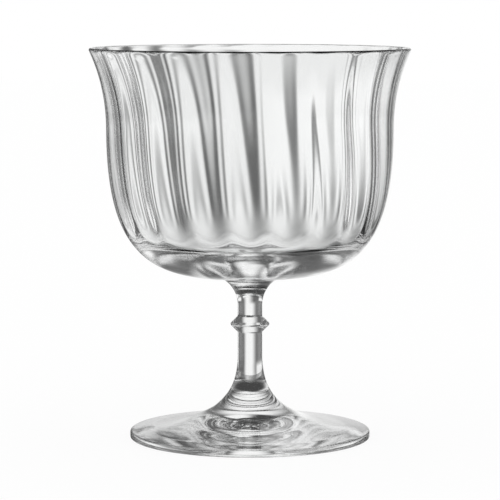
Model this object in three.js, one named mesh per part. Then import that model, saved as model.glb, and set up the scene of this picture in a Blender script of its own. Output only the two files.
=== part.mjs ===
// A dessert coupe in clear glass: a ribbed bowl on a ringed stem, with a round foot.
// Lengths are millimetres and +Z is up. The origin is on the table, under the middle of the foot.
// The pieces are stacked, each standing on the flat top of the one below it.
import * as THREE from 'three';

// Foot: a flat disc that rises to a crown in the middle
const FOOT_RADIUS = 37.7;
const FOOT_EDGE_THICKNESS = 2.2;
const FOOT_EDGE_TOP_ROUNDING = 0.6;
const FOOT_EDGE_BOTTOM_ROUNDING = 0.4;
const FOOT_EDGE_SLOPE = 9.5; // degrees from level, at the edge
const FOOT_EDGE_REACH = 21.2; // how far the edge's slope carries inwards
const CROWN_HEIGHT = 13;
const CROWN_RADIUS = 7.6;
const CROWN_SLOPE = 51; // degrees from level, where the stem stands
const CROWN_REACH = 7.15; // how far the crown's slope carries outwards
const STANDING_RING_WIDTH = 6.5;
const HOLLOW_DEPTH = 3.6; // of the hollow under the foot
const HOLLOW_FLAT = 7; // how far the hollow's level top carries out
const HOLLOW_EDGE = 4; // how far the standing ring's level carries in

// Stem: a round rod in two lengths, spread at the bottom and flared at the top
const STEM_RADIUS = 3.88;
const LOWER_STEM_LENGTH = 20.1;
const SPREAD_HEIGHT = 13;
const SPREAD_REACH = 4.2; // how far the crown's slope carries up the stem
const SPREAD_TAPER = 5.5; // how far the straight rod carries down into the spread
const UPPER_STEM_STRAIGHT = 3.6;
const FLARE_RADIUS = 9.3;
const FLARE_RISE = 6.8; // height of the part of the flare that belongs to the stem

// Ring round the stem: two cones that meet at a rounded edge
const RING_RADIUS = 6.1;
const RING_HEIGHT = 5;
const RING_EDGE_ROUNDING = 0.65;

// Bowl: an outward lip over straight sides and a deep round belly
const BOWL_HEIGHT = 73.5; // from its seat on the stem to the rim
const RIM_RADIUS = 50;
const LIP_THICKNESS = 1.2;
const LIP_LEAN = 25; // degrees from upright
const LIP_REACH = 8.6; // how far the lip's lean carries down
const WAIST_RADIUS = 44.75;
const WAIST_HEIGHT = 48.5; // above the seat
const WAIST_REACH_UP = 8;
const BELLY_DROP = 26.6; // how far the upright side carries down
const BELLY_SPREAD = 26.2; // how far the level underside carries out
const WALL_THICKNESS = 1; // between ribs, at the waist
const FLOOR_THICKNESS = 5.2; // over the underside
const INNER_BELLY_DROP = 39; // how far the upright inner side carries down
const INNER_FLOOR_SPREAD = 35; // how far the level floor carries out

// Ribs inside the bowl: smooth waves that lean, lower at the lip and gone on the floor
const RIB_COUNT = 22;
const RIB_HEIGHT = 0.9;
const RIB_RIM_SHARE = 0.8; // height at the rim, as a share of the full height
const RIB_GROWTH = 20; // distance below the rim where the full height is reached
const RIB_START = -6; // degrees round the axis from the front to the first rib, at the rim
const RIB_TWIST = 7.5; // degrees round the axis, from the rim down to the floor
const RIB_FLOOR_RADIUS = 36;
const RIB_FLOOR_FADE = 6;

// Facets
const STEPS_PER_RIB = 6;
const FOOT_SIDES = 72;
const STEM_SIDES = 44;
const LONG_CURVE_STEPS = 12;
const CURVE_STEPS = 6;
const ROUNDING_STEPS = 3;

const GLASS_COLOUR = 0xeef3f2;
const GLASS_ROUGHNESS = 0.04;
const GLASS_OPACITY = 0.35;

const QUARTER_TURN = Math.PI / 2;

// A half section, drawn as radius and height from the axis out and back again
class HalfSection {
  constructor(height) {
    this.points = [new THREE.Vector2(0, height)];
  }

  get end() {
    return this.points.at(-1);
  }

  lineTo(radius, height) {
    this.points.push(new THREE.Vector2(radius, height));
    return this;
  }

  lineToAxis() {
    return this.lineTo(0, this.end.y);
  }

  arc(centreRadius, centreHeight, radius, from, to, steps) {
    const arc = new THREE.EllipseCurve(centreRadius, centreHeight, radius, radius, from, to, from > to);
    return this.follow(arc, steps);
  }

  // A curve that leaves along one arm and arrives along the other
  curveTo(leaving, arriving, radius, height, steps) {
    const end = new THREE.Vector2(radius, height);
    const first = this.end.clone().add(leaving);
    const last = end.clone().sub(arriving);
    return this.follow(new THREE.CubicBezierCurve(this.end, first, last, end), steps);
  }

  follow(curve, steps) {
    const joined = curve.getPoint(0).distanceTo(this.end) < 1e-6;
    this.points.push(...curve.getPoints(steps).slice(joined ? 1 : 0));
    return this;
  }

  turn(sides) {
    return new THREE.LatheGeometry(this.points, sides);
  }
}

// An arm of a curve: a length at an angle above level
function arm(length, degrees) {
  const angle = THREE.MathUtils.degToRad(degrees);
  return new THREE.Vector2(length * Math.cos(angle), length * Math.sin(angle));
}

function glassPiece(name, geometry, height) {
  const glass = new THREE.MeshStandardMaterial({
    color: GLASS_COLOUR,
    roughness: GLASS_ROUGHNESS,
    metalness: 0,
    transparent: true,
    opacity: GLASS_OPACITY,
  });
  const mesh = new THREE.Mesh(geometry.rotateX(QUARTER_TURN), glass);
  mesh.name = name;
  mesh.position.z = height;
  return mesh;
}

function footGeometry() {
  const ringInner = FOOT_RADIUS - FOOT_EDGE_BOTTOM_ROUNDING - STANDING_RING_WIDTH;
  const bottomCentre = FOOT_RADIUS - FOOT_EDGE_BOTTOM_ROUNDING;
  const topCentre = FOOT_RADIUS - FOOT_EDGE_TOP_ROUNDING;
  const topCentreHeight = FOOT_EDGE_THICKNESS - FOOT_EDGE_TOP_ROUNDING;
  const topEnd = QUARTER_TURN - THREE.MathUtils.degToRad(FOOT_EDGE_SLOPE);
  return new HalfSection(HOLLOW_DEPTH)
    .curveTo(arm(HOLLOW_FLAT, 0), arm(HOLLOW_EDGE, 0), ringInner, 0, CURVE_STEPS)
    .lineTo(bottomCentre, 0)
    .arc(
      bottomCentre,
      FOOT_EDGE_BOTTOM_ROUNDING,
      FOOT_EDGE_BOTTOM_ROUNDING,
      -QUARTER_TURN,
      0,
      ROUNDING_STEPS,
    )
    .arc(topCentre, topCentreHeight, FOOT_EDGE_TOP_ROUNDING, 0, topEnd, ROUNDING_STEPS)
    .curveTo(
      arm(FOOT_EDGE_REACH, 180 - FOOT_EDGE_SLOPE),
      arm(CROWN_REACH, 180 - CROWN_SLOPE),
      CROWN_RADIUS,
      CROWN_HEIGHT,
      LONG_CURVE_STEPS,
    )
    .lineToAxis()
    .turn(FOOT_SIDES);
}

function lowerStemGeometry() {
  return new HalfSection(0)
    .lineTo(CROWN_RADIUS, 0)
    .curveTo(
      arm(SPREAD_REACH, 180 - CROWN_SLOPE),
      arm(SPREAD_TAPER, 90),
      STEM_RADIUS,
      SPREAD_HEIGHT,
      CURVE_STEPS,
    )
    .lineTo(STEM_RADIUS, LOWER_STEM_LENGTH)
    .lineToAxis()
    .turn(STEM_SIDES);
}

// Each cone runs from the stem's surface until it touches the rounded edge
function ringGeometry() {
  const middle = RING_HEIGHT / 2;
  const edgeCentre = RING_RADIUS - RING_EDGE_ROUNDING;
  const toCentre = new THREE.Vector2(edgeCentre - STEM_RADIUS, middle);
  const coneSlope = toCentre.angle() - Math.asin(RING_EDGE_ROUNDING / toCentre.length());
  const edgeTurn = QUARTER_TURN - coneSlope;
  return new HalfSection(0)
    .lineTo(STEM_RADIUS, 0)
    .arc(edgeCentre, middle, RING_EDGE_ROUNDING, -edgeTurn, edgeTurn, CURVE_STEPS)
    .lineTo(STEM_RADIUS, RING_HEIGHT)
    .lineToAxis()
    .turn(STEM_SIDES);
}

// The flare under the bowl is one quarter round, which the stem's end and the bowl's seat share
const FLARE_CENTRE = STEM_RADIUS + FLARE_RADIUS;
const SEAT_ANGLE = Math.PI - Math.asin(FLARE_RISE / FLARE_RADIUS);

function upperStemGeometry() {
  return new HalfSection(0)
    .lineTo(STEM_RADIUS, 0)
    .arc(FLARE_CENTRE, UPPER_STEM_STRAIGHT, FLARE_RADIUS, Math.PI, SEAT_ANGLE, CURVE_STEPS)
    .lineToAxis()
    .turn(STEM_SIDES);
}

// The bowl's lip is a half round; its floor lies above the underside that the flare runs out to
const LIP_ROUNDING = LIP_THICKNESS / 2;
const BOWL_FLOOR = FLARE_RADIUS - FLARE_RISE + FLOOR_THICKNESS;

// How strongly the ribs stand at a point of the bowl's inner surface, from 0 to 1
function ribStrength(radius, belowRim) {
  const overLip = Math.min(belowRim / LIP_ROUNDING, 1);
  const rounded = Math.sqrt(overLip * (2 - overLip));
  const grown = THREE.MathUtils.smoothstep(belowRim, 0, RIB_GROWTH);
  const share = THREE.MathUtils.lerp(RIB_RIM_SHARE, 1, grown);
  const offFloor = THREE.MathUtils.smoothstep(radius, RIB_FLOOR_RADIUS, RIB_FLOOR_RADIUS + RIB_FLOOR_FADE);
  return rounded * share * offFloor;
}

function bowlGeometry() {
  const lean = THREE.MathUtils.degToRad(LIP_LEAN);
  const lipCentre = RIM_RADIUS - LIP_ROUNDING;
  const lipCentreHeight = BOWL_HEIGHT - LIP_ROUNDING;
  const lipOuter = arm(LIP_ROUNDING, -LIP_LEAN);
  const innerWaist = WAIST_RADIUS - WALL_THICKNESS;
  const outside = new HalfSection(0)
    .arc(FLARE_CENTRE, -FLARE_RISE, FLARE_RADIUS, SEAT_ANGLE, QUARTER_TURN, ROUNDING_STEPS)
    .curveTo(
      arm(BELLY_SPREAD, 0),
      arm(BELLY_DROP, 90),
      WAIST_RADIUS,
      WAIST_HEIGHT,
      LONG_CURVE_STEPS,
    )
    .curveTo(
      arm(WAIST_REACH_UP, 90),
      arm(LIP_REACH, 90 - LIP_LEAN),
      lipCentre + lipOuter.x,
      lipCentreHeight + lipOuter.y,
      CURVE_STEPS,
    )
    .arc(lipCentre, lipCentreHeight, LIP_ROUNDING, -lean, QUARTER_TURN, ROUNDING_STEPS);
  const outsideCount = outside.points.length;
  const section = outside
    .arc(lipCentre, lipCentreHeight, LIP_ROUNDING, QUARTER_TURN, Math.PI - lean, ROUNDING_STEPS)
    .curveTo(
      arm(LIP_REACH, 270 - LIP_LEAN),
      arm(WAIST_REACH_UP, 270),
      innerWaist,
      WAIST_HEIGHT,
      CURVE_STEPS,
    )
    .curveTo(
      arm(INNER_BELLY_DROP, 270),
      arm(INNER_FLOOR_SPREAD, 180),
      0,
      BOWL_FLOOR,
      LONG_CURVE_STEPS,
    );
  const geometry = section.turn(RIB_COUNT * STEPS_PER_RIB);
  raiseRibs(geometry, section.points.length, outsideCount);
  return geometry;
}

// Moves the inner surface towards the axis where a rib stands
function raiseRibs(geometry, rowLength, firstInner) {
  const position = geometry.attributes.position;
  for (let k = 0; k < position.count; k += 1) {
    const radius = Math.hypot(position.getX(k), position.getZ(k));
    if (k % rowLength < firstInner || radius === 0) continue;
    const belowRim = BOWL_HEIGHT - position.getY(k);
    const turned = RIB_START + (RIB_TWIST * belowRim) / (BOWL_HEIGHT - BOWL_FLOOR);
    const around = Math.atan2(position.getX(k), position.getZ(k)) - THREE.MathUtils.degToRad(turned);
    const crest = (1 + Math.cos(RIB_COUNT * around)) / 2;
    const shrink = 1 - (RIB_HEIGHT * crest * ribStrength(radius, belowRim)) / radius;
    position.setX(k, position.getX(k) * shrink);
    position.setZ(k, position.getZ(k) * shrink);
  }
  geometry.computeVertexNormals();
}

const ringSeat = CROWN_HEIGHT + LOWER_STEM_LENGTH;
const upperStemSeat = ringSeat + RING_HEIGHT;
const bowlSeat = upperStemSeat + UPPER_STEM_STRAIGHT + FLARE_RISE;

const coupe = new THREE.Group();
coupe.add(
  glassPiece('foot', footGeometry(), 0),
  glassPiece('lower_stem', lowerStemGeometry(), CROWN_HEIGHT),
  glassPiece('stem_ring', ringGeometry(), ringSeat),
  glassPiece('upper_stem', upperStemGeometry(), upperStemSeat),
  glassPiece('bowl', bowlGeometry(), bowlSeat),
);

export default coupe;
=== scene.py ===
"""Looks of a dessert coupe in clear glass: five fused pieces, a plain studio and the camera."""
import logging
import math
from dataclasses import dataclass
from enum import Enum

import bmesh
import bpy
from mathutils import Euler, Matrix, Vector
from mathutils.geometry import interpolate_bezier


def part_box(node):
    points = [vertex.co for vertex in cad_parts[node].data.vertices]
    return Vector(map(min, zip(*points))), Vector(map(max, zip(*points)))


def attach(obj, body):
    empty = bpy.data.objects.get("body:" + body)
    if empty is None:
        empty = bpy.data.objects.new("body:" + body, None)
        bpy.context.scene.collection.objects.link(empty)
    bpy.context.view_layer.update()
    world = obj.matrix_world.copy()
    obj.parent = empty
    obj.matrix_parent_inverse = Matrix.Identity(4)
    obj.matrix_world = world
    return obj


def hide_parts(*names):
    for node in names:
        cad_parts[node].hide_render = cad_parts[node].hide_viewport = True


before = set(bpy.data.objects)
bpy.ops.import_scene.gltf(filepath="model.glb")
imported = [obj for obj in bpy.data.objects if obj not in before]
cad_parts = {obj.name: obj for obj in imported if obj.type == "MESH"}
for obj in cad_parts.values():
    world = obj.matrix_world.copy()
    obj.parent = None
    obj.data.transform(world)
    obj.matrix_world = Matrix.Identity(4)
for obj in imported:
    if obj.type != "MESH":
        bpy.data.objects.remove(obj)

LOG = logging.getLogger("coupe")
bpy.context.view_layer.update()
MM = 0.001
BODY = "root"
WHITE = (1.0, 1.0, 1.0, 1.0)
QUARTER_TURN = math.pi / 2
UP = (0, 0, 1)
SECTORS = 22  # a turned surface is one sector, copied round the axis
SAME_POINT_MM = 1e-6


class Face(Enum):
    """Faces of a glass piece, in the order of its material slots."""

    SKIN = 0
    JOINT = 1


class Sock:
    """A shader socket that takes part in Python arithmetic by adding Math nodes."""

    def __init__(self, graph: "NodeGraph", socket: bpy.types.NodeSocket | None) -> None:
        """Keeps the socket and the graph that new nodes go into."""
        self.graph = graph
        self.socket = socket

    def math(self, operation: str, *values: "Sock | float") -> "Sock":
        """Adds one Math node on these values."""
        return self.graph.node("ShaderNodeMath", {"operation": operation}, dict(enumerate(values)))

    def __add__(self, other: "Sock | float") -> "Sock":
        """Sum."""
        return self.math("ADD", self, other)

    def __sub__(self, other: "Sock | float") -> "Sock":
        """Difference."""
        return self.math("SUBTRACT", self, other)

    def __rsub__(self, other: float) -> "Sock":
        """Difference from a number."""
        return self.math("SUBTRACT", other, self)

    def __mul__(self, other: "Sock | float") -> "Sock":
        """Product."""
        return self.math("MULTIPLY", self, other)

    __radd__ = __add__
    __rmul__ = __mul__

    def larger(self, other: "Sock | float") -> "Sock":
        """The larger of two values."""
        return self.math("MAXIMUM", self, other)

    def degrees_from(self, other: "Sock") -> "Sock":
        """Bearing in degrees, where this is a direction's rightward and other its backward part."""
        return self.math("ARCTAN2", self, other) * math.degrees(1)

    def step(self, low: float, high: float) -> "Sock":
        """A smooth step from 0 at low to 1 at high.

        Args:
            low: value where the step starts.
            high: value where it ends, which may lie below low.

        Returns:
            The step's value.
        """
        settings = {"interpolation_type": "SMOOTHSTEP"}
        inputs = {"Value": self, "From Min": low, "From Max": high}
        return self.graph.node("ShaderNodeMapRange", settings, inputs)


class NodeGraph:
    """The node tree of one material or of the world."""

    def __init__(self, tree: bpy.types.NodeTree) -> None:
        """Empties the tree, ready for new nodes."""
        self.tree = tree
        tree.nodes.clear()

    def node(self, kind: str, settings: dict, inputs: dict, output: int | str = 0) -> Sock:
        """Adds a node.

        Args:
            kind: the node's Blender type.
            settings: its properties, set before its sockets.
            inputs: socket name or number to a value or a link.
            output: name or number of the socket that is returned.

        Returns:
            The chosen output.
        """
        node = self.tree.nodes.new(kind)
        for name, value in settings.items():
            setattr(node, name, value)
        for name, value in inputs.items():
            if isinstance(value, Sock):
                self.tree.links.new(value.socket, node.inputs[name])
            else:
                node.inputs[name].default_value = value
        return Sock(self, node.outputs[output] if len(node.outputs) else None)

    def along(self, axis: str, vector: Sock) -> Sock:
        """The part of a vector along one axis."""
        return self.node("ShaderNodeSeparateXYZ", {}, {"Vector": vector}, axis)

    def through_glass(self) -> Sock:
        """1 for rays that come from the glass, and 0 for those of the camera and the floor."""
        glossy = self.node("ShaderNodeLightPath", {}, {}, "Is Glossy Ray")
        return glossy.larger(self.node("ShaderNodeLightPath", {}, {}, "Is Transmission Ray"))


def blend(start: Sock | float, share: Sock, end: Sock | float) -> Sock:
    """Goes from start to end by a share of 0 to 1."""
    return start + share * (end - start)


class Finish:
    """A surface finish, which each kind of finish makes from its own shader nodes."""

    name: str

    def surface(self, graph: NodeGraph) -> Sock:
        """Adds the finish's nodes and gives its shader."""
        raise NotImplementedError

    def material(self) -> bpy.types.Material:
        """Makes the material of the finish.

        Returns:
            The new material.
        """
        material = bpy.data.materials.new(self.name)
        material.use_nodes = True
        graph = NodeGraph(material.node_tree)
        graph.node("ShaderNodeOutputMaterial", {}, {"Surface": self.surface(graph)})
        return material


@dataclass(frozen=True)
class ClearGlass(Finish):
    """Fire-polished clear glass, with the faint waves that blowing and pressing leave."""

    name: str = "clear_glass"
    ior: float = 1.52
    tint: tuple = (0.985, 0.99, 0.988, 1.0)
    wave_length_mm: float = 9.0
    wave_strength: float = 0.02
    wave_depth_mm: float = 0.02
    wave_detail: float = 1.0
    polish: float = 0.04
    haze: float = 0.02
    haze_range: tuple = (0.4, 0.7)
    haze_specks_per_wave: float = 3.0
    haze_detail: float = 3.0

    def mottle(self, graph: NodeGraph, per_metre: float, detail: float) -> Sock:
        """Adds a soft mottle that is fixed to the glass.

        Args:
            graph: node tree that takes it.
            per_metre: how many blotches lie along a metre.
            detail: octaves of finer mottle in it.

        Returns:
            The mottle, from 0 to 1.
        """
        place = graph.node("ShaderNodeTexCoord", {}, {}, "Object")
        inputs = {"Vector": place, "Scale": per_metre, "Detail": detail}
        return graph.node("ShaderNodeTexNoise", {}, inputs, "Fac")

    def surface(self, graph: NodeGraph) -> Sock:
        """Adds the glass, with its waves and its slight haze.

        Args:
            graph: node tree that takes it.

        Returns:
            The glass shader.
        """
        waves_per_metre = 1 / (self.wave_length_mm * MM)
        waves = self.mottle(graph, waves_per_metre, self.wave_detail)
        specks = self.mottle(graph, self.haze_specks_per_wave * waves_per_metre, self.haze_detail)
        depth = self.wave_depth_mm * MM
        bump = {"Strength": self.wave_strength, "Distance": depth, "Height": waves}
        glass = {
            "Base Color": self.tint,
            "Transmission Weight": 1.0,
            "IOR": self.ior,
            "Roughness": specks.step(*self.haze_range) * self.haze + self.polish,
            "Normal": graph.node("ShaderNodeBump", {}, bump),
        }
        return graph.node("ShaderNodeBsdfPrincipled", {}, glass)


@dataclass(frozen=True)
class FusedJoint(Finish):
    """The face where two pieces are fused: light goes straight through it."""

    name: str = "fused_joint"

    def surface(self, graph: NodeGraph) -> Sock:
        """Adds the see-through shader."""
        return graph.node("ShaderNodeBsdfTransparent", {}, {})


def arm(length: float, degrees: float) -> Vector:
    """An arm of a curve: a length at an angle above level."""
    return Vector((math.cos(math.radians(degrees)), math.sin(math.radians(degrees)))) * length


def smoothstep(value: float, low: float, high: float) -> float:
    """A smooth step from 0 at low to 1 at high."""
    t = min(max((value - low) / (high - low), 0.0), 1.0)
    return t * t * (3 - 2 * t)


class HalfSection:
    """Half of a turned section, drawn in millimetres as radius and height."""

    def __init__(self, radius: float, height: float) -> None:
        """Starts the section at one point."""
        self.points = [Vector((radius, height))]

    def line_to(self, radius: float, height: float, steps: int = 1) -> None:
        """Adds a straight stretch.

        Args:
            radius: radius where it ends.
            height: height where it ends.
            steps: how many equal pieces it is cut into.
        """
        start = self.points[-1]
        end = Vector((radius, height))
        self.points += [start.lerp(end, (k + 1) / steps) for k in range(steps)]

    def line_to_axis(self) -> None:
        """Closes the section with a level line to the axis."""
        self.line_to(0, self.points[-1].y)

    def arc(self, centre: Vector, radius: float, start: float, end: float, steps: int) -> None:
        """Adds a round stretch, joined to the last point by a straight one.

        Args:
            centre: middle of the round.
            radius: its radius.
            start: angle where it starts, in radians above level.
            end: angle where it ends.
            steps: how many pieces it is cut into.
        """
        angles = [start + (end - start) * k / steps for k in range(steps + 1)]
        points = [centre + radius * Vector((math.cos(a), math.sin(a))) for a in angles]
        joined = (points[0] - self.points[-1]).length < SAME_POINT_MM
        self.points += points[1:] if joined else points

    def curve_to(self, leaving: Vector, arriving: Vector, end: Vector, steps: int) -> None:
        """Adds a curve that leaves along one arm and arrives along the other.

        Args:
            leaving: arm at the last point, along which the curve sets out.
            arriving: arm at the end, along which it comes in.
            end: point where it ends.
            steps: how many pieces it is cut into.
        """
        start = self.points[-1]
        curve = interpolate_bezier(start, start + leaving, end - arriving, end, steps + 1)
        self.points += curve[1:]

    def turn(self, mesh: bmesh.types.BMesh, sides: int) -> list[bmesh.types.BMVert]:
        """Spins the section round the upright axis.

        Args:
            mesh: mesh that takes the new surface.
            sides: facets in a full turn.

        Returns:
            The new vertices.
        """
        before = set(mesh.verts)
        sector = math.tau / SECTORS
        chain = [mesh.verts.new((p.x * MM, 0, p.y * MM)) for p in self.points]
        edges = [mesh.edges.new(pair) for pair in zip(chain, chain[1:])]
        steps = sides // SECTORS
        bmesh.ops.spin(mesh, geom=chain + edges, axis=UP, angle=sector, steps=steps)
        strip = [v for v in mesh.verts if v not in before]
        faces = list({f for v in strip for f in v.link_faces})
        edges = list({e for v in strip for e in v.link_edges})
        bmesh.ops.spin(
            mesh,
            geom=strip + edges + faces,
            axis=UP,
            angle=math.tau - sector,
            steps=SECTORS - 1,
            use_duplicate=True,
        )
        return [v for v in mesh.verts if v not in before]


@dataclass
class GlassPiece:
    """A turned piece of glass that stands for one node of the frame, with sizes in millimetres."""

    node: str
    sides: int = 110
    weld: float = 0.0005
    flatness: float = 0.001

    def __post_init__(self) -> None:
        """Reads the heights of the node's underside and top from the frame."""
        low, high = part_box(self.node)
        self.base = low.z / MM
        self.top = high.z / MM

    def shape(self, mesh: bmesh.types.BMesh) -> None:
        """Models the piece, which each kind of piece does in its own way."""
        raise NotImplementedError

    def joint_heights(self) -> list[float]:
        """Heights of the flat faces where the piece is fused to its neighbours."""
        return [self.base, self.top]

    def build(self, materials: dict[Face, bpy.types.Material]) -> bpy.types.Object:
        """Makes the piece and puts it in the node's place.

        Args:
            materials: material of each kind of face.

        Returns:
            The finished object.
        """
        mesh = bmesh.new()
        self.shape(mesh)
        bmesh.ops.remove_doubles(mesh, verts=mesh.verts[:], dist=self.weld * MM)
        bmesh.ops.recalc_face_normals(mesh, faces=mesh.faces[:])
        self.mark_joints(mesh)
        data = bpy.data.meshes.new(f"{self.node}_glass")
        mesh.to_mesh(data)
        mesh.free()
        for face in Face:
            data.materials.append(materials[face])
        piece = bpy.data.objects.new(f"{self.node}_glass", data)
        bpy.context.scene.collection.objects.link(piece)
        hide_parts(self.node)
        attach(piece, BODY)
        return piece

    def mark_joints(self, mesh: bmesh.types.BMesh) -> None:
        """Shades the skin smooth and gives the fused faces their own slot and a crisp edge.

        Args:
            mesh: mesh of the piece.
        """
        heights = [height * MM for height in self.joint_heights()]
        near = self.flatness * MM
        for face in mesh.faces:
            face.smooth = True
            if any(all(abs(v.co.z - height) < near for v in face.verts) for height in heights):
                face.material_index = Face.JOINT.value
                for edge in face.edges:
                    edge.smooth = False


@dataclass
class Foot(GlassPiece):
    """Round foot that rises to a crown under the stem, slightly hollow underneath."""

    node: str = "foot"
    sides: int = 198
    radius: float = 37.7
    edge_thickness: float = 2.2
    edge_top_rounding: float = 0.6
    edge_top_steps: int = 12
    edge_bottom_rounding: float = 0.4
    edge_bottom_steps: int = 6
    edge_slope: float = 9.5
    edge_reach: float = 21.2
    crown_radius: float = 7.6
    crown_slope: float = 51.0
    crown_reach: float = 7.15
    crown_steps: int = 70
    standing_ring: float = 6.5
    standing_ring_steps: int = 4
    hollow: float = 3.6
    hollow_flat: float = 7.0
    hollow_edge: float = 4.0
    hollow_steps: int = 30

    def joint_heights(self) -> list[float]:
        """Only the top is fused."""
        return [self.top]

    def shape(self, mesh: bmesh.types.BMesh) -> None:
        """Turns the foot's half section.

        Args:
            mesh: mesh that takes the surface.
        """
        corner = Vector((self.radius, self.edge_thickness))
        high_centre = corner - Vector((1, 1)) * self.edge_top_rounding
        high_end = QUARTER_TURN - math.radians(self.edge_slope)
        rounding = self.edge_bottom_rounding
        low_centre = Vector((self.radius - rounding, rounding))
        ring_inner = Vector((low_centre.x - self.standing_ring, 0))
        hollow_arms = arm(self.hollow_flat, 0), arm(self.hollow_edge, 0)
        leaving = arm(self.edge_reach, 180 - self.edge_slope)
        arriving = arm(self.crown_reach, 180 - self.crown_slope)
        crown = Vector((self.crown_radius, self.top))
        section = HalfSection(0, self.hollow)
        section.curve_to(*hollow_arms, ring_inner, self.hollow_steps)
        section.line_to(low_centre.x, 0, self.standing_ring_steps)
        section.arc(low_centre, rounding, -QUARTER_TURN, 0, self.edge_bottom_steps)
        section.arc(high_centre, self.edge_top_rounding, 0, high_end, self.edge_top_steps)
        section.curve_to(leaving, arriving, crown, self.crown_steps)
        section.line_to_axis()
        section.turn(mesh, self.sides)


@dataclass
class LowerStem(GlassPiece):
    """Drawn rod that spreads at the bottom, where it was pressed onto the foot."""

    node: str = "lower_stem"
    radius: float = 3.88
    rod_steps: int = 8
    crown_radius: float = 7.6
    crown_slope: float = 51.0
    spread_height: float = 13.0
    spread_reach: float = 4.2
    spread_taper: float = 5.5
    spread_steps: int = 40

    def shape(self, mesh: bmesh.types.BMesh) -> None:
        """Turns the rod's half section.

        Args:
            mesh: mesh that takes the surface.
        """
        leaving = arm(self.spread_reach, 180 - self.crown_slope)
        arriving = arm(self.spread_taper, 90)
        neck = Vector((self.radius, self.base + self.spread_height))
        section = HalfSection(0, self.base)
        section.line_to(self.crown_radius, self.base)
        section.curve_to(leaving, arriving, neck, self.spread_steps)
        section.line_to(self.radius, self.top, self.rod_steps)
        section.line_to_axis()
        section.turn(mesh, self.sides)


@dataclass
class StemRing(GlassPiece):
    """Ring round the stem: two cones that meet at a rounded edge."""

    node: str = "stem_ring"
    stem_radius: float = 3.88
    radius: float = 6.1
    edge_rounding: float = 0.65
    edge_steps: int = 16

    def shape(self, mesh: bmesh.types.BMesh) -> None:
        """Turns the ring's half section, each cone running until it touches the rounded edge.

        Args:
            mesh: mesh that takes the surface.
        """
        centre = Vector((self.radius - self.edge_rounding, (self.base + self.top) / 2))
        to_centre = centre - Vector((self.stem_radius, self.base))
        half_angle = math.asin(self.edge_rounding / to_centre.length)
        slope = math.atan2(to_centre.y, to_centre.x) - half_angle
        edge_turn = QUARTER_TURN - slope
        section = HalfSection(0, self.base)
        section.line_to(self.stem_radius, self.base)
        section.arc(centre, self.edge_rounding, -edge_turn, edge_turn, self.edge_steps)
        section.line_to(self.stem_radius, self.top)
        section.line_to_axis()
        section.turn(mesh, self.sides)


@dataclass
class UpperStem(GlassPiece):
    """Short rod, flared at the top to carry the bowl."""

    node: str = "upper_stem"
    radius: float = 3.88
    rod_steps: int = 4
    flare_radius: float = 9.3
    flare_rise: float = 6.8
    flare_steps: int = 30

    def shape(self, mesh: bmesh.types.BMesh) -> None:
        """Turns the rod's half section.

        Args:
            mesh: mesh that takes the surface.
        """
        flare_start = self.top - self.flare_rise
        centre = Vector((self.radius + self.flare_radius, flare_start))
        seat = math.pi - math.asin(self.flare_rise / self.flare_radius)
        section = HalfSection(0, self.base)
        section.line_to(self.radius, self.base)
        section.line_to(self.radius, flare_start, self.rod_steps)
        section.arc(centre, self.flare_radius, math.pi, seat, self.flare_steps)
        section.line_to_axis()
        section.turn(mesh, self.sides)


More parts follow.
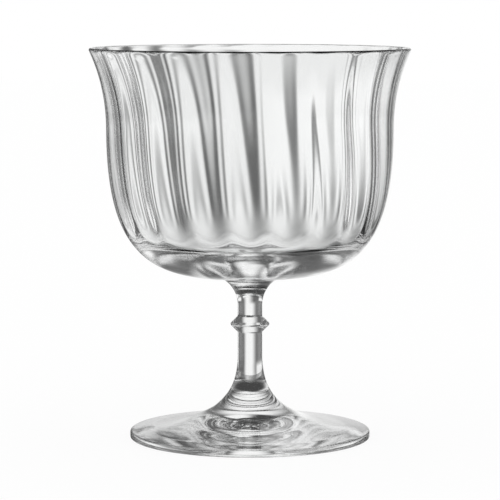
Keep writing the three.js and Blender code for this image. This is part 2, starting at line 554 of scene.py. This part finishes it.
@dataclass
class Bowl(GlassPiece):
    """Blown bowl with an outward lip, a round belly and ribs on its inner surface."""

    node: str = "bowl"
    stem_radius: float = 3.88
    flare_radius: float = 9.3
    flare_rise: float = 6.8
    flare_steps: int = 24
    rim_radius: float = 50.0
    rim_outer_steps: int = 8
    rim_inner_steps: int = 6
    lip_thickness: float = 1.2
    lip_lean: float = 25.0
    lip_reach: float = 8.6
    lip_steps: int = 30
    waist_radius: float = 44.75
    waist_height: float = 48.5
    waist_reach_up: float = 8.0
    belly_drop: float = 26.6
    belly_spread: float = 26.2
    belly_steps: int = 60
    wall: float = 1.0
    floor_thickness: float = 5.2
    inner_belly_drop: float = 39.0
    inner_floor_spread: float = 35.0
    inner_belly_steps: int = 72
    rib_count: int = 22
    steps_per_rib: int = 18
    rib_height: float = 0.9
    rib_start: float = -6.0
    rib_twist: float = 7.5
    rib_rim_share: float = 0.8
    rib_growth: float = 20.0
    rib_floor_radius: float = 36.0
    rib_floor_fade: float = 6.0

    @property
    def floor(self) -> float:
        """Height of the bowl's floor."""
        return self.base + self.flare_radius - self.flare_rise + self.floor_thickness

    def joint_heights(self) -> list[float]:
        """Only the seat on the stem is fused."""
        return [self.base]

    def shape(self, mesh: bmesh.types.BMesh) -> None:
        """Turns the outside and the inside, which meet on top of the lip, and raises the ribs.

        Args:
            mesh: mesh that takes the surface.
        """
        sides = self.rib_count * self.steps_per_rib
        self.outside().turn(mesh, sides)
        for vertex in self.inside().turn(mesh, sides):
            self.raise_rib(vertex)

    def lip_centre(self) -> Vector:
        """Middle of the lip's rounding."""
        return Vector((self.rim_radius, self.top)) - Vector((1, 1)) * self.lip_thickness / 2

    def outside(self) -> HalfSection:
        """Draws the outer half section.

        Returns:
            The section, from the seat to the top of the lip.
        """
        flare_centre = Vector((self.stem_radius + self.flare_radius, self.base - self.flare_rise))
        seat = math.pi - math.asin(self.flare_rise / self.flare_radius)
        belly_arms = arm(self.belly_spread, 0), arm(self.belly_drop, 90)
        waist = Vector((self.waist_radius, self.base + self.waist_height))
        lip_arms = arm(self.waist_reach_up, 90), arm(self.lip_reach, 90 - self.lip_lean)
        rounding = self.lip_thickness / 2
        lip = self.lip_centre()
        lip_outer = lip + arm(rounding, -self.lip_lean)
        lean = math.radians(self.lip_lean)
        section = HalfSection(0, self.base)
        section.arc(flare_centre, self.flare_radius, seat, QUARTER_TURN, self.flare_steps)
        section.curve_to(*belly_arms, waist, self.belly_steps)
        section.curve_to(*lip_arms, lip_outer, self.lip_steps)
        section.arc(lip, rounding, -lean, QUARTER_TURN, self.rim_outer_steps)
        return section

    def inside(self) -> HalfSection:
        """Draws the inner half section, before the ribs are raised on it.

        Returns:
            The section, from the top of the lip to the middle of the floor.
        """
        lip = self.lip_centre()
        lip_end = math.pi - math.radians(self.lip_lean)
        lip_arms = arm(self.lip_reach, 270 - self.lip_lean), arm(self.waist_reach_up, 270)
        waist = Vector((self.waist_radius - self.wall, self.base + self.waist_height))
        belly_arms = arm(self.inner_belly_drop, 270), arm(self.inner_floor_spread, 180)
        section = HalfSection(lip.x, self.top)
        section.arc(lip, self.lip_thickness / 2, QUARTER_TURN, lip_end, self.rim_inner_steps)
        section.curve_to(*lip_arms, waist, self.lip_steps)
        section.curve_to(*belly_arms, Vector((0, self.floor)), self.inner_belly_steps)
        return section

    def raise_rib(self, vertex: bmesh.types.BMVert) -> None:
        """Moves a point of the inner surface towards the axis where a rib stands.

        Args:
            vertex: the point.
        """
        radius = vertex.co.xy.length / MM
        if radius < self.rib_floor_radius:
            return
        below_rim = max(self.top - vertex.co.z / MM, 0.0)
        grown = smoothstep(below_rim, 0, self.rib_growth)
        strength = self.rib_rim_share + (1 - self.rib_rim_share) * grown
        rounding = min(2 * below_rim / self.lip_thickness, 1.0)
        strength *= math.sqrt(rounding * (2 - rounding))
        fade_end = self.rib_floor_radius + self.rib_floor_fade
        strength *= smoothstep(radius, self.rib_floor_radius, fade_end)
        turned = self.rib_start + self.rib_twist * below_rim / (self.top - self.floor)
        around = math.atan2(vertex.co.x, -vertex.co.y) - math.radians(turned)
        crest = (1 + math.cos(self.rib_count * around)) / 2
        shrink = 1 - self.rib_height * crest * strength / radius
        vertex.co.x *= shrink
        vertex.co.y *= shrink


@dataclass(frozen=True)
class Span:
    """A stretch from low to high, each end of which fades over its own softness to either side."""

    low: float
    low_softness: float
    high: float
    high_softness: float

    def mask(self, value: Sock) -> Sock:
        """How far a value lies inside the stretch.

        Args:
            value: bearing, place or other number that changes.

        Returns:
            1 inside, 0 outside, and between them at the ends.
        """
        risen = value.step(self.low - self.low_softness, self.low + self.low_softness)
        fallen = value.step(self.high + self.high_softness, self.high - self.high_softness)
        return risen * fallen

    def ends(self) -> tuple[float, float]:
        """Where the stretch has wholly faded out, below and above."""
        return self.low - self.low_softness, self.high + self.high_softness


def stage_sheet(name: str, corners: list[tuple], material: bpy.types.Material) -> None:
    """Adds a flat sheet to the studio.

    Args:
        name: the sheet's name.
        corners: its four corners in metres, in order.
        material: its material.
    """
    mesh = bmesh.new()
    mesh.faces.new([mesh.verts.new(corner) for corner in corners])
    data = bpy.data.meshes.new(name)
    mesh.to_mesh(data)
    mesh.free()
    data.materials.append(material)
    sheet = bpy.data.objects.new(name, data)
    bpy.context.scene.collection.objects.link(sheet)


@dataclass(frozen=True)
class Card(Finish):
    """A white card close behind the coupe, which only the glass sees, in millimetres."""

    name: str
    behind: float
    across: Span
    upright: Span
    level: float = 1.0

    def surface(self, graph: NodeGraph) -> Sock:
        """Adds the card's glow, which fades out at its edges.

        Args:
            graph: node tree that takes it.

        Returns:
            The card's shader.
        """
        place = graph.node("ShaderNodeTexCoord", {}, {}, "Object")
        x = graph.along("X", place) * (1 / MM)
        z = graph.along("Z", place) * (1 / MM)
        shown = graph.through_glass() * self.across.mask(x) * self.upright.mask(z)
        glow = graph.node("ShaderNodeEmission", {}, {"Color": WHITE, "Strength": self.level})
        open_air = graph.node("ShaderNodeBsdfTransparent", {}, {})
        return graph.node("ShaderNodeMixShader", {}, {0: shown, 1: open_air, 2: glow})

    def build(self) -> None:
        """Stands the card behind the coupe."""
        left, right = self.across.ends()
        low, high = self.upright.ends()
        outline = ((left, low), (right, low), (right, high), (left, high))
        corners = [(x * MM, self.behind * MM, z * MM) for x, z in outline]
        stage_sheet(self.name, corners, self.material())


@dataclass(frozen=True)
class WhiteFloor(Finish):
    """White floor that keeps the coupe's soft shadow and lets the glass look past it."""

    name: str = "studio_floor"
    size: float = 6.0
    paint: tuple = (0.95, 0.95, 0.95, 1.0)
    glow_share: float = 0.9

    def surface(self, graph: NodeGraph) -> Sock:
        """Adds the floor's paint and glow.

        Args:
            graph: node tree that takes them.

        Returns:
            The floor's shader.
        """
        paint = graph.node("ShaderNodeBsdfDiffuse", {}, {"Color": self.paint})
        glow = graph.node("ShaderNodeEmission", {}, {"Color": WHITE, "Strength": 1.0})
        lit = graph.node("ShaderNodeMixShader", {}, {0: self.glow_share, 1: paint, 2: glow})
        open_air = graph.node("ShaderNodeBsdfTransparent", {}, {})
        seen_past = graph.through_glass()
        return graph.node("ShaderNodeMixShader", {}, {0: seen_past, 1: lit, 2: open_air})

    def build(self) -> None:
        """Lays the floor under the coupe."""
        half = self.size / 2
        corners = [(-half, -half, 0), (half, -half, 0), (half, half, 0), (-half, half, 0)]
        stage_sheet("floor", corners, self.material())


@dataclass(frozen=True)
class Panel:
    """A panel of the wall: its bearings, in degrees right of straight behind, and its light."""

    bearings: Span
    level: float


@dataclass(frozen=True)
class PanelRow:
    """Panels that start at one height, which is the upward part of a direction.

    The row fades in from the first height to the second and holds on beyond it.
    """

    fades_in: tuple[float, float]
    panels: tuple[Panel, ...]

    def laid_over(self, level: Sock, bearing: Sock, height: Sock) -> Sock:
        """Lays the row's panels over the light of the wall.

        Args:
            level: light of the wall without them.
            bearing: bearing of the direction.
            height: upward part of the direction.

        Returns:
            The light with the panels.
        """
        reached = height.step(*self.fades_in)
        for panel in self.panels:
            level = blend(level, reached * panel.bearings.mask(bearing), panel.level)
        return level


@dataclass(frozen=True)
class Walls:
    """Walls, ceiling and table: white for the camera, and light and shade for the glass."""

    wall_level: float = 0.14
    backdrop: Panel = Panel(Span(-3.0, 11.0, 16.0, 8.0), 1.0)
    side_row: PanelRow = PanelRow(
        (0.03, -0.03),
        (
            Panel(Span(-62.0, 6.0, -30.0, 5.0), 0.2),
            Panel(Span(61.0, 5.0, 165.0, 10.0), 1.1),
            Panel(Span(-115.0, 8.0, -70.0, 8.0), 0.9),
        ),
    )
    upper_row: PanelRow = PanelRow(
        (0.04, 0.12),
        (Panel(Span(-92.0, 8.0, -33.0, 5.0), 1.0), Panel(Span(33.0, 5.0, 92.0, 8.0), 1.0)),
    )
    ceiling_level: float = 0.06
    ceiling_fades_in: tuple = (0.2, 0.4)
    table_level: float = 0.25
    table_fades_in: tuple = (-0.35, -0.5)
    lower_row: PanelRow = PanelRow((-0.2, -0.32), (Panel(Span(-90.0, 8.0, -22.0, 6.0), 0.95),))
    under_level: float = 0.06
    under_fades_in: tuple = (-0.5, -0.85)

    def seen_by_glass(self, graph: NodeGraph) -> Sock:
        """Works out the light that comes to the glass from each direction.

        Args:
            graph: the world's node tree.

        Returns:
            The strength of the light.
        """
        direction = graph.node("ShaderNodeTexCoord", {}, {}, "Generated")
        bearing = graph.along("X", direction).degrees_from(graph.along("Y", direction))
        height = graph.along("Z", direction)
        backdrop = self.backdrop.bearings.mask(bearing)
        beside = 1.0 - backdrop
        level = blend(self.wall_level, backdrop, self.backdrop.level)
        level = self.side_row.laid_over(level, bearing, height)
        level = self.upper_row.laid_over(level, bearing, height)
        level = blend(level, height.step(*self.ceiling_fades_in), self.ceiling_level)
        level = blend(level, height.step(*self.table_fades_in) * beside, self.table_level)
        level = self.lower_row.laid_over(level, bearing, height)
        return blend(level, height.step(*self.under_fades_in), self.under_level)

    def build(self) -> None:
        """Makes the world of the scene."""
        world = bpy.data.worlds.new("studio")
        bpy.context.scene.world = world
        world.use_nodes = True
        graph = NodeGraph(world.node_tree)
        strength = blend(1.0, graph.through_glass(), self.seen_by_glass(graph))
        light = graph.node("ShaderNodeBackground", {}, {"Color": WHITE, "Strength": strength})
        graph.node("ShaderNodeOutputWorld", {}, {"Surface": light})


@dataclass
class Studio:
    """Plain white studio: walls, floor, three cards behind the glass and the camera."""

    walls: Walls = Walls()
    floor: WhiteFloor = WhiteFloor()
    cards: tuple[Card, ...] = (
        Card("stem_card", 60.0, Span(-13.0, 11.0, 10.0, 10.0), Span(-20.0, 8.0, 40.0, 6.0)),
        Card("bowl_card", 120.0, Span(-1.0, 12.0, 50.0, 5.0), Span(74.0, 10.0, 140.0, 8.0)),
        Card("rim_card", 60.0, Span(-58.0, 3.0, 58.0, 3.0), Span(119.6, 0.4, 125.0, 1.0)),
    )
    glass_bounces: int = 32
    glossy_bounces: int = 16
    camera_distance: float = 0.778
    camera_height: float = 0.1409
    camera_pitch: float = 6.02
    lens: float = 180.0

    def build(self) -> None:
        """Sets up the whole studio."""
        scene = bpy.context.scene
        scene.view_settings.view_transform = "Standard"
        scene.cycles.max_bounces = self.glass_bounces
        scene.cycles.transmission_bounces = self.glass_bounces
        scene.cycles.transparent_max_bounces = self.glass_bounces
        scene.cycles.glossy_bounces = self.glossy_bounces
        self.walls.build()
        self.floor.build()
        for card in self.cards:
            card.build()
        self.add_camera()

    def add_camera(self) -> None:
        """Camera a little above the rim, looking slightly down."""
        data = bpy.data.cameras.new("camera")
        data.lens = self.lens
        camera = bpy.data.objects.new("camera", data)
        camera.location = (0, -self.camera_distance, self.camera_height)
        camera.rotation_euler = Euler((QUARTER_TURN - math.radians(self.camera_pitch), 0, 0))
        bpy.context.scene.collection.objects.link(camera)
        bpy.context.scene.camera = camera


def main() -> None:
    """Builds the coupe and the studio, and logs how many faces each glass piece has."""
    logging.basicConfig(level=logging.INFO)
    materials = {Face.SKIN: ClearGlass().material(), Face.JOINT: FusedJoint().material()}
    for part in (Foot(), LowerStem(), StemRing(), UpperStem(), Bowl()):
        piece = part.build(materials)
        LOG.info("%s: %d faces", piece.name, len(piece.data.polygons))
    Studio().build()


if __name__ == "__main__":
    main()
